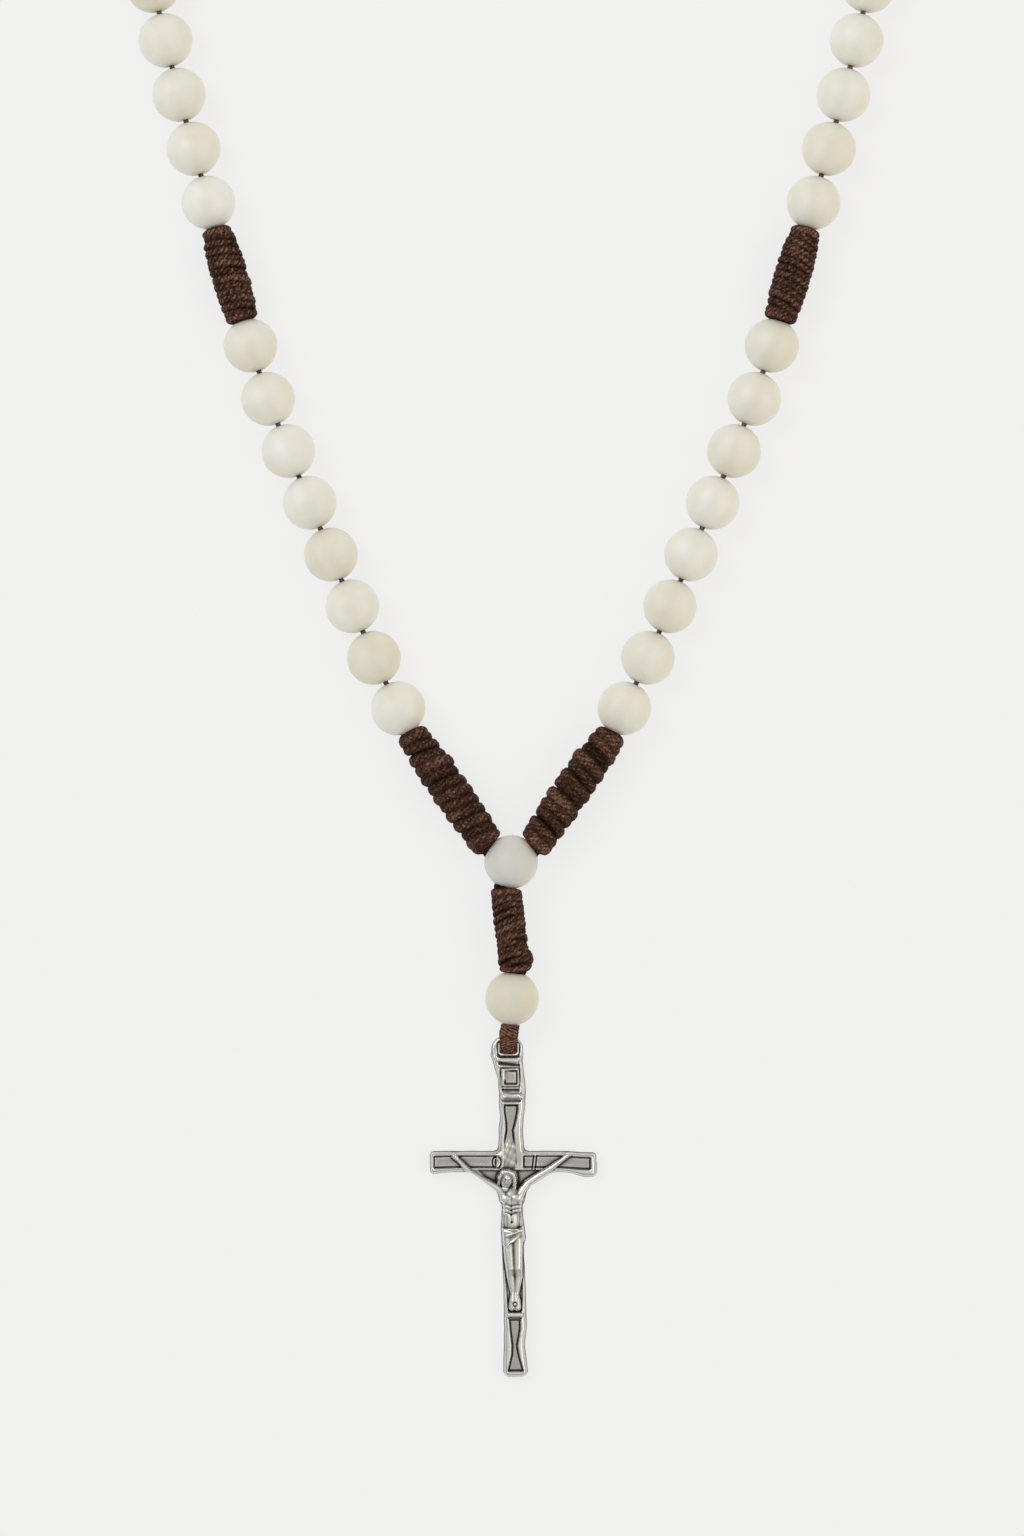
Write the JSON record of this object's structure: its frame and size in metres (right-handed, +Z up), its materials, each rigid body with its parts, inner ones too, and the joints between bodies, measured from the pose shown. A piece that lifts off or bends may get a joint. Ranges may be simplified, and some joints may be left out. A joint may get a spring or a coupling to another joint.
{
  "type": "rosary",
  "caption": "Stone-bead rosary laid flat: groups of round beads on waxed cord with wound knots between them, a centre bead, and a pendant with a cast crucifix.",
  "frame": {"origin": "middle of the laid-out rosary, on the surface it lies on", "axes": "+Y from the crucifix to the top of the loop, +X to the right, +Z up from the surface"},
  "size_m": [0.115, 0.2486, 0.008],
  "materials": {
    "stone_bead": "frosted translucent creamy-white stone, drilled",
    "waxed_cord": "thin braided waxed cord, dark brown",
    "wound_cord": "braided waxed cord wound into a knot, dark brown",
    "antique_silver": "antiqued silver-coloured casting: bright rubbed edges, dark recesses"
  },
  "bodies": {
    "top_strand": {"decade_cord_3": "waxed_cord"},
    "separator_knot_2": {"separator_knot_2": "wound_cord"},
    "upper_left_strand": {"decade_cord_2": "waxed_cord"},
    "separator_knot_1": {"separator_knot_1": "wound_cord"},
    "lower_left_strand": {"decade_cord_1": "waxed_cord"},
    "centre": {"centre_bead": "stone_bead", "centre_cord_left": "waxed_cord", "centre_cord_right": "waxed_cord", "lower_knot_left": "wound_cord"},
    "separator_knot_3": {"separator_knot_3": "wound_cord"},
    "upper_right_strand": {"decade_cord_4": "waxed_cord"},
    "separator_knot_4": {"separator_knot_4": "wound_cord"},
    "lower_right_strand": {"decade_cord_5": "waxed_cord"},
    "lower_knot_right": {"lower_knot_right": "wound_cord"},
    "drop_knot": {"drop_knot": "wound_cord"},
    "pendant_strand": {"pendant_cord": "waxed_cord"},
    "hanger_loop": {"hanger_loop": "waxed_cord"},
    "crucifix": {"crucifix": "antique_silver"},
    "pendant_bead": {"pendant_bead": "stone_bead"},
    "decade_1_bead_1": {"decade_1_bead_1": "stone_bead"},
    "decade_1_bead_2": {"decade_1_bead_2": "stone_bead"},
    "decade_1_bead_3": {"decade_1_bead_3": "stone_bead"},
    "decade_1_bead_4": {"decade_1_bead_4": "stone_bead"},
    "decade_1_bead_5": {"decade_1_bead_5": "stone_bead"},
    "decade_1_bead_6": {"decade_1_bead_6": "stone_bead"},
    "decade_1_bead_7": {"decade_1_bead_7": "stone_bead"},
    "decade_1_bead_8": {"decade_1_bead_8": "stone_bead"},
    "decade_2_bead_1": {"decade_2_bead_1": "stone_bead"},
    "decade_2_bead_2": {"decade_2_bead_2": "stone_bead"},
    "decade_2_bead_3": {"decade_2_bead_3": "stone_bead"},
    "decade_2_bead_4": {"decade_2_bead_4": "stone_bead"},
    "decade_2_bead_5": {"decade_2_bead_5": "stone_bead"},
    "decade_2_bead_6": {"decade_2_bead_6": "stone_bead"},
    "decade_2_bead_7": {"decade_2_bead_7": "stone_bead"},
    "decade_2_bead_8": {"decade_2_bead_8": "stone_bead"},
    "decade_3_bead_1": {"decade_3_bead_1": "stone_bead"},
    "decade_3_bead_2": {"decade_3_bead_2": "stone_bead"},
    "decade_3_bead_3": {"decade_3_bead_3": "stone_bead"},
    "decade_3_bead_4": {"decade_3_bead_4": "stone_bead"},
    "decade_3_bead_5": {"decade_3_bead_5": "stone_bead"},
    "decade_3_bead_6": {"decade_3_bead_6": "stone_bead"},
    "decade_3_bead_7": {"decade_3_bead_7": "stone_bead"},
    "decade_3_bead_8": {"decade_3_bead_8": "stone_bead"},
    "decade_4_bead_1": {"decade_4_bead_1": "stone_bead"},
    "decade_4_bead_2": {"decade_4_bead_2": "stone_bead"},
    "decade_4_bead_3": {"decade_4_bead_3": "stone_bead"},
    "decade_4_bead_4": {"decade_4_bead_4": "stone_bead"},
    "decade_4_bead_5": {"decade_4_bead_5": "stone_bead"},
    "decade_4_bead_6": {"decade_4_bead_6": "stone_bead"},
    "decade_4_bead_7": {"decade_4_bead_7": "stone_bead"},
    "decade_4_bead_8": {"decade_4_bead_8": "stone_bead"},
    "decade_5_bead_1": {"decade_5_bead_1": "stone_bead"},
    "decade_5_bead_2": {"decade_5_bead_2": "stone_bead"},
    "decade_5_bead_3": {"decade_5_bead_3": "stone_bead"},
    "decade_5_bead_4": {"decade_5_bead_4": "stone_bead"},
    "decade_5_bead_5": {"decade_5_bead_5": "stone_bead"},
    "decade_5_bead_6": {"decade_5_bead_6": "stone_bead"},
    "decade_5_bead_7": {"decade_5_bead_7": "stone_bead"},
    "decade_5_bead_8": {"decade_5_bead_8": "stone_bead"}
  },
  "joints": [
    {"name": "loop_fold", "type": "hinge", "parent": "top_strand", "child": "separator_knot_2", "pos_m": [-0.03286, 0.11576, 0.004], "axis": [0, 0, 1], "range_deg": [-18, 18]},
    {"name": "drop_swing", "type": "hinge", "parent": "centre", "child": "drop_knot", "pos_m": [-0.00074, -0.05191, 0.004], "axis": [0, 0, 1], "range_deg": [-24, 24]},
    {"name": "pendant_bend", "type": "hinge", "parent": "drop_knot", "child": "pendant_strand", "pos_m": [0.00047, -0.06364, 0.004], "axis": [0, 0, 1], "range_deg": [-30, 30]},
    {"name": "hanger_bend", "type": "hinge", "parent": "pendant_strand", "child": "hanger_loop", "pos_m": [-0.00012, -0.07212, 0.004], "axis": [0, 0, 1], "range_deg": [-25, 25]},
    {"name": "crucifix_swing", "type": "hinge", "parent": "hanger_loop", "child": "crucifix", "pos_m": [-0.00039, -0.07403, 0.00155], "axis": [1, 0, 0], "range_deg": [-90, 90]},
    {"name": "upper_left_bend", "type": "hinge", "parent": "separator_knot_2", "child": "upper_left_strand", "pos_m": [-0.04441, 0.10859, 0.004], "axis": [0, 0, 1], "range_deg": [-8.25, 8.25]},
    {"name": "waist_left_upper_bend", "type": "hinge", "parent": "upper_left_strand", "child": "separator_knot_1", "pos_m": [-0.04371, 0.04601, 0.004], "axis": [0, 0, 1], "range_deg": [-12.62, 12.62]},
    {"name": "waist_left_lower_bend", "type": "hinge", "parent": "separator_knot_1", "child": "lower_left_strand", "pos_m": [-0.03989, 0.03295, 0.004], "axis": [0, 0, 1], "range_deg": [-10.68, 10.68]},
    {"name": "lower_left_bend", "type": "hinge", "parent": "lower_left_strand", "child": "centre", "pos_m": [-0.01485, -0.02868, 0.004], "axis": [0, 0, 1], "range_deg": [-12.6, 12.6]},
    {"name": "top_right_bend", "type": "hinge", "parent": "top_strand", "child": "separator_knot_3", "pos_m": [0.03286, 0.11576, 0.004], "axis": [0, 0, 1], "range_deg": [-18.66, 18.66]},
    {"name": "upper_right_bend", "type": "hinge", "parent": "separator_knot_3", "child": "upper_right_strand", "pos_m": [0.04441, 0.10859, 0.004], "axis": [0, 0, 1], "range_deg": [-8.25, 8.25]},
    {"name": "waist_right_upper_bend", "type": "hinge", "parent": "upper_right_strand", "child": "separator_knot_4", "pos_m": [0.04371, 0.04601, 0.004], "axis": [0, 0, 1], "range_deg": [-12.62, 12.62]},
    {"name": "waist_right_lower_bend", "type": "hinge", "parent": "separator_knot_4", "child": "lower_right_strand", "pos_m": [0.03989, 0.03295, 0.004], "axis": [0, 0, 1], "range_deg": [-10.68, 10.68]},
    {"name": "lower_right_bend", "type": "hinge", "parent": "lower_right_strand", "child": "lower_knot_right", "pos_m": [0.01485, -0.02868, 0.004], "axis": [0, 0, 1], "range_deg": [-12.6, 12.6]},
    {"name": "pendant_bead_spin", "type": "hinge", "parent": "pendant_strand", "child": "pendant_bead", "pos_m": [0.00018, -0.06788, 0.004], "axis": [0.0698, 0.9976, 0], "continuous": true},
    {"name": "decade_1_bead_1_spin", "type": "hinge", "parent": "lower_left_strand", "child": "decade_1_bead_1", "pos_m": [-0.01678, -0.02489, 0.004], "axis": [-0.454, 0.891, 0], "continuous": true},
    {"name": "decade_1_bead_2_spin", "type": "hinge", "parent": "lower_left_strand", "child": "decade_1_bead_2", "pos_m": [-0.02032, -0.01739, 0.004], "axis": [-0.3987, 0.9171, 0], "continuous": true},
    {"name": "decade_1_bead_3_spin", "type": "hinge", "parent": "lower_left_strand", "child": "decade_1_bead_3", "pos_m": [-0.02357, -0.00975, 0.004], "axis": [-0.3843, 0.9232, 0], "continuous": true},
    {"name": "decade_1_bead_4_spin", "type": "hinge", "parent": "lower_left_strand", "child": "decade_1_bead_4", "pos_m": [-0.02672, -0.00207, 0.004], "axis": [-0.3746, 0.9272, 0], "continuous": true},
    {"name": "decade_1_bead_5_spin", "type": "hinge", "parent": "lower_left_strand", "child": "decade_1_bead_5", "pos_m": [-0.02987, 0.00561, 0.004], "axis": [-0.3843, 0.9232, 0], "continuous": true},
    {"name": "decade_1_bead_6_spin", "type": "hinge", "parent": "lower_left_strand", "child": "decade_1_bead_6", "pos_m": [-0.03305, 0.01328, 0.004], "axis": [-0.3811, 0.9245, 0], "continuous": true},
    {"name": "decade_1_bead_7_spin", "type": "hinge", "parent": "lower_left_strand", "child": "decade_1_bead_7", "pos_m": [-0.03603, 0.02102, 0.004], "axis": [-0.3387, 0.9409, 0], "continuous": true},
    {"name": "decade_1_bead_8_spin", "type": "hinge", "parent": "lower_left_strand", "child": "decade_1_bead_8", "pos_m": [-0.03865, 0.02889, 0.004], "axis": [-0.2924, 0.9563, 0], "continuous": true},
    {"name": "decade_2_bead_1_spin", "type": "hinge", "parent": "upper_left_strand", "child": "decade_2_bead_1", "pos_m": [-0.04487, 0.0501, 0.004], "axis": [-0.2723, 0.9622, 0], "continuous": true},
    {"name": "decade_2_bead_2_spin", "type": "hinge", "parent": "upper_left_strand", "child": "decade_2_bead_2", "pos_m": [-0.04711, 0.05809, 0.004], "axis": [-0.2689, 0.9632, 0], "continuous": true},
    {"name": "decade_2_bead_3_spin", "type": "hinge", "parent": "upper_left_strand", "child": "decade_2_bead_3", "pos_m": [-0.04928, 0.0661, 0.004], "axis": [-0.2521, 0.9677, 0], "continuous": true},
    {"name": "decade_2_bead_4_spin", "type": "hinge", "parent": "upper_left_strand", "child": "decade_2_bead_4", "pos_m": [-0.05127, 0.07416, 0.004], "axis": [-0.2284, 0.9736, 0], "continuous": true},
    {"name": "decade_2_bead_5_spin", "type": "hinge", "parent": "upper_left_strand", "child": "decade_2_bead_5", "pos_m": [-0.05308, 0.08226, 0.004], "axis": [-0.2079, 0.9781, 0], "continuous": true},
    {"name": "decade_2_bead_6_spin", "type": "hinge", "parent": "upper_left_strand", "child": "decade_2_bead_6", "pos_m": [-0.05354, 0.09045, 0.004], "axis": [0.0967, 0.9953, 0], "continuous": true},
    {"name": "decade_2_bead_7_spin", "type": "hinge", "parent": "upper_left_strand", "child": "decade_2_bead_7", "pos_m": [-0.05151, 0.09839, 0.004], "axis": [0.3922, 0.9199, 0], "continuous": true},
    {"name": "decade_2_bead_8_spin", "type": "hinge", "parent": "upper_left_strand", "child": "decade_2_bead_8", "pos_m": [-0.04718, 0.10536, 0.004], "axis": [0.6513, 0.7588, 0], "continuous": true},
    {"name": "decade_3_bead_1_spin", "type": "hinge", "parent": "top_strand", "child": "decade_3_bead_1", "pos_m": [-0.02874, 0.1168, 0.004], "axis": [0.9692, 0.2464, 0], "continuous": true},
    {"name": "decade_3_bead_2_spin", "type": "hinge", "parent": "top_strand", "child": "decade_3_bead_2", "pos_m": [-0.02063, 0.11856, 0.004], "axis": [0.9842, 0.1769, 0], "continuous": true},
    {"name": "decade_3_bead_3_spin", "type": "hinge", "parent": "top_strand", "child": "decade_3_bead_3", "pos_m": [-0.01242, 0.11974, 0.004], "axis": [0.9943, 0.1065, 0], "continuous": true},
    {"name": "decade_3_bead_4_spin", "type": "hinge", "parent": "top_strand", "child": "decade_3_bead_4", "pos_m": [-0.00415, 0.12033, 0.004], "axis": [0.9994, 0.0356, 0], "continuous": true},
    {"name": "decade_3_bead_5_spin", "type": "hinge", "parent": "top_strand", "child": "decade_3_bead_5", "pos_m": [0.00415, 0.12033, 0.004], "axis": [-0.9994, 0.0356, 0], "continuous": true},
    {"name": "decade_3_bead_6_spin", "type": "hinge", "parent": "top_strand", "child": "decade_3_bead_6", "pos_m": [0.01242, 0.11974, 0.004], "axis": [-0.9943, 0.1065, 0], "continuous": true},
    {"name": "decade_3_bead_7_spin", "type": "hinge", "parent": "top_strand", "child": "decade_3_bead_7", "pos_m": [0.02063, 0.11856, 0.004], "axis": [-0.9842, 0.1769, 0], "continuous": true},
    {"name": "decade_3_bead_8_spin", "type": "hinge", "parent": "top_strand", "child": "decade_3_bead_8", "pos_m": [0.02874, 0.1168, 0.004], "axis": [-0.9692, 0.2464, 0], "continuous": true},
    {"name": "decade_4_bead_1_spin", "type": "hinge", "parent": "upper_right_strand", "child": "decade_4_bead_1", "pos_m": [0.04718, 0.10536, 0.004], "axis": [-0.6513, 0.7588, 0], "continuous": true},
    {"name": "decade_4_bead_2_spin", "type": "hinge", "parent": "upper_right_strand", "child": "decade_4_bead_2", "pos_m": [0.05151, 0.09839, 0.004], "axis": [-0.3922, 0.9199, 0], "continuous": true},
    {"name": "decade_4_bead_3_spin", "type": "hinge", "parent": "upper_right_strand", "child": "decade_4_bead_3", "pos_m": [0.05354, 0.09045, 0.004], "axis": [-0.0967, 0.9953, 0], "continuous": true},
    {"name": "decade_4_bead_4_spin", "type": "hinge", "parent": "upper_right_strand", "child": "decade_4_bead_4", "pos_m": [0.05308, 0.08226, 0.004], "axis": [0.2079, 0.9781, 0], "continuous": true},
    {"name": "decade_4_bead_5_spin", "type": "hinge", "parent": "upper_right_strand", "child": "decade_4_bead_5", "pos_m": [0.05127, 0.07416, 0.004], "axis": [0.2284, 0.9736, 0], "continuous": true},
    {"name": "decade_4_bead_6_spin", "type": "hinge", "parent": "upper_right_strand", "child": "decade_4_bead_6", "pos_m": [0.04928, 0.0661, 0.004], "axis": [0.2521, 0.9677, 0], "continuous": true},
    {"name": "decade_4_bead_7_spin", "type": "hinge", "parent": "upper_right_strand", "child": "decade_4_bead_7", "pos_m": [0.04711, 0.05809, 0.004], "axis": [0.2689, 0.9632, 0], "continuous": true},
    {"name": "decade_4_bead_8_spin", "type": "hinge", "parent": "upper_right_strand", "child": "decade_4_bead_8", "pos_m": [0.04487, 0.0501, 0.004], "axis": [0.2723, 0.9622, 0], "continuous": true},
    {"name": "decade_5_bead_1_spin", "type": "hinge", "parent": "lower_right_strand", "child": "decade_5_bead_1", "pos_m": [0.03865, 0.02889, 0.004], "axis": [0.2924, 0.9563, 0], "continuous": true},
    {"name": "decade_5_bead_2_spin", "type": "hinge", "parent": "lower_right_strand", "child": "decade_5_bead_2", "pos_m": [0.03603, 0.02102, 0.004], "axis": [0.3387, 0.9409, 0], "continuous": true},
    {"name": "decade_5_bead_3_spin", "type": "hinge", "parent": "lower_right_strand", "child": "decade_5_bead_3", "pos_m": [0.03305, 0.01328, 0.004], "axis": [0.3811, 0.9245, 0], "continuous": true},
    {"name": "decade_5_bead_4_spin", "type": "hinge", "parent": "lower_right_strand", "child": "decade_5_bead_4", "pos_m": [0.02987, 0.00561, 0.004], "axis": [0.3843, 0.9232, 0], "continuous": true},
    {"name": "decade_5_bead_5_spin", "type": "hinge", "parent": "lower_right_strand", "child": "decade_5_bead_5", "pos_m": [0.02672, -0.00207, 0.004], "axis": [0.3746, 0.9272, 0], "continuous": true},
    {"name": "decade_5_bead_6_spin", "type": "hinge", "parent": "lower_right_strand", "child": "decade_5_bead_6", "pos_m": [0.02357, -0.00975, 0.004], "axis": [0.3843, 0.9232, 0], "continuous": true},
    {"name": "decade_5_bead_7_spin", "type": "hinge", "parent": "lower_right_strand", "child": "decade_5_bead_7", "pos_m": [0.02032, -0.01739, 0.004], "axis": [0.3987, 0.9171, 0], "continuous": true},
    {"name": "decade_5_bead_8_spin", "type": "hinge", "parent": "lower_right_strand", "child": "decade_5_bead_8", "pos_m": [0.01678, -0.02489, 0.004], "axis": [0.454, 0.891, 0], "continuous": true}
  ],
  "couplings": [
    {"joint": "upper_left_bend", "follows": "loop_fold", "ratio": -0.43319},
    {"joint": "waist_left_upper_bend", "follows": "loop_fold", "ratio": -0.67096},
    {"joint": "waist_left_lower_bend", "follows": "loop_fold", "ratio": -0.56562},
    {"joint": "lower_left_bend", "follows": "loop_fold", "ratio": 0.66977},
    {"joint": "top_right_bend", "follows": "loop_fold", "ratio": -1},
    {"joint": "upper_right_bend", "follows": "loop_fold", "ratio": 0.43319},
    {"joint": "waist_right_upper_bend", "follows": "loop_fold", "ratio": 0.67096},
    {"joint": "waist_right_lower_bend", "follows": "loop_fold", "ratio": 0.56562},
    {"joint": "lower_right_bend", "follows": "loop_fold", "ratio": -0.66977}
  ]
}
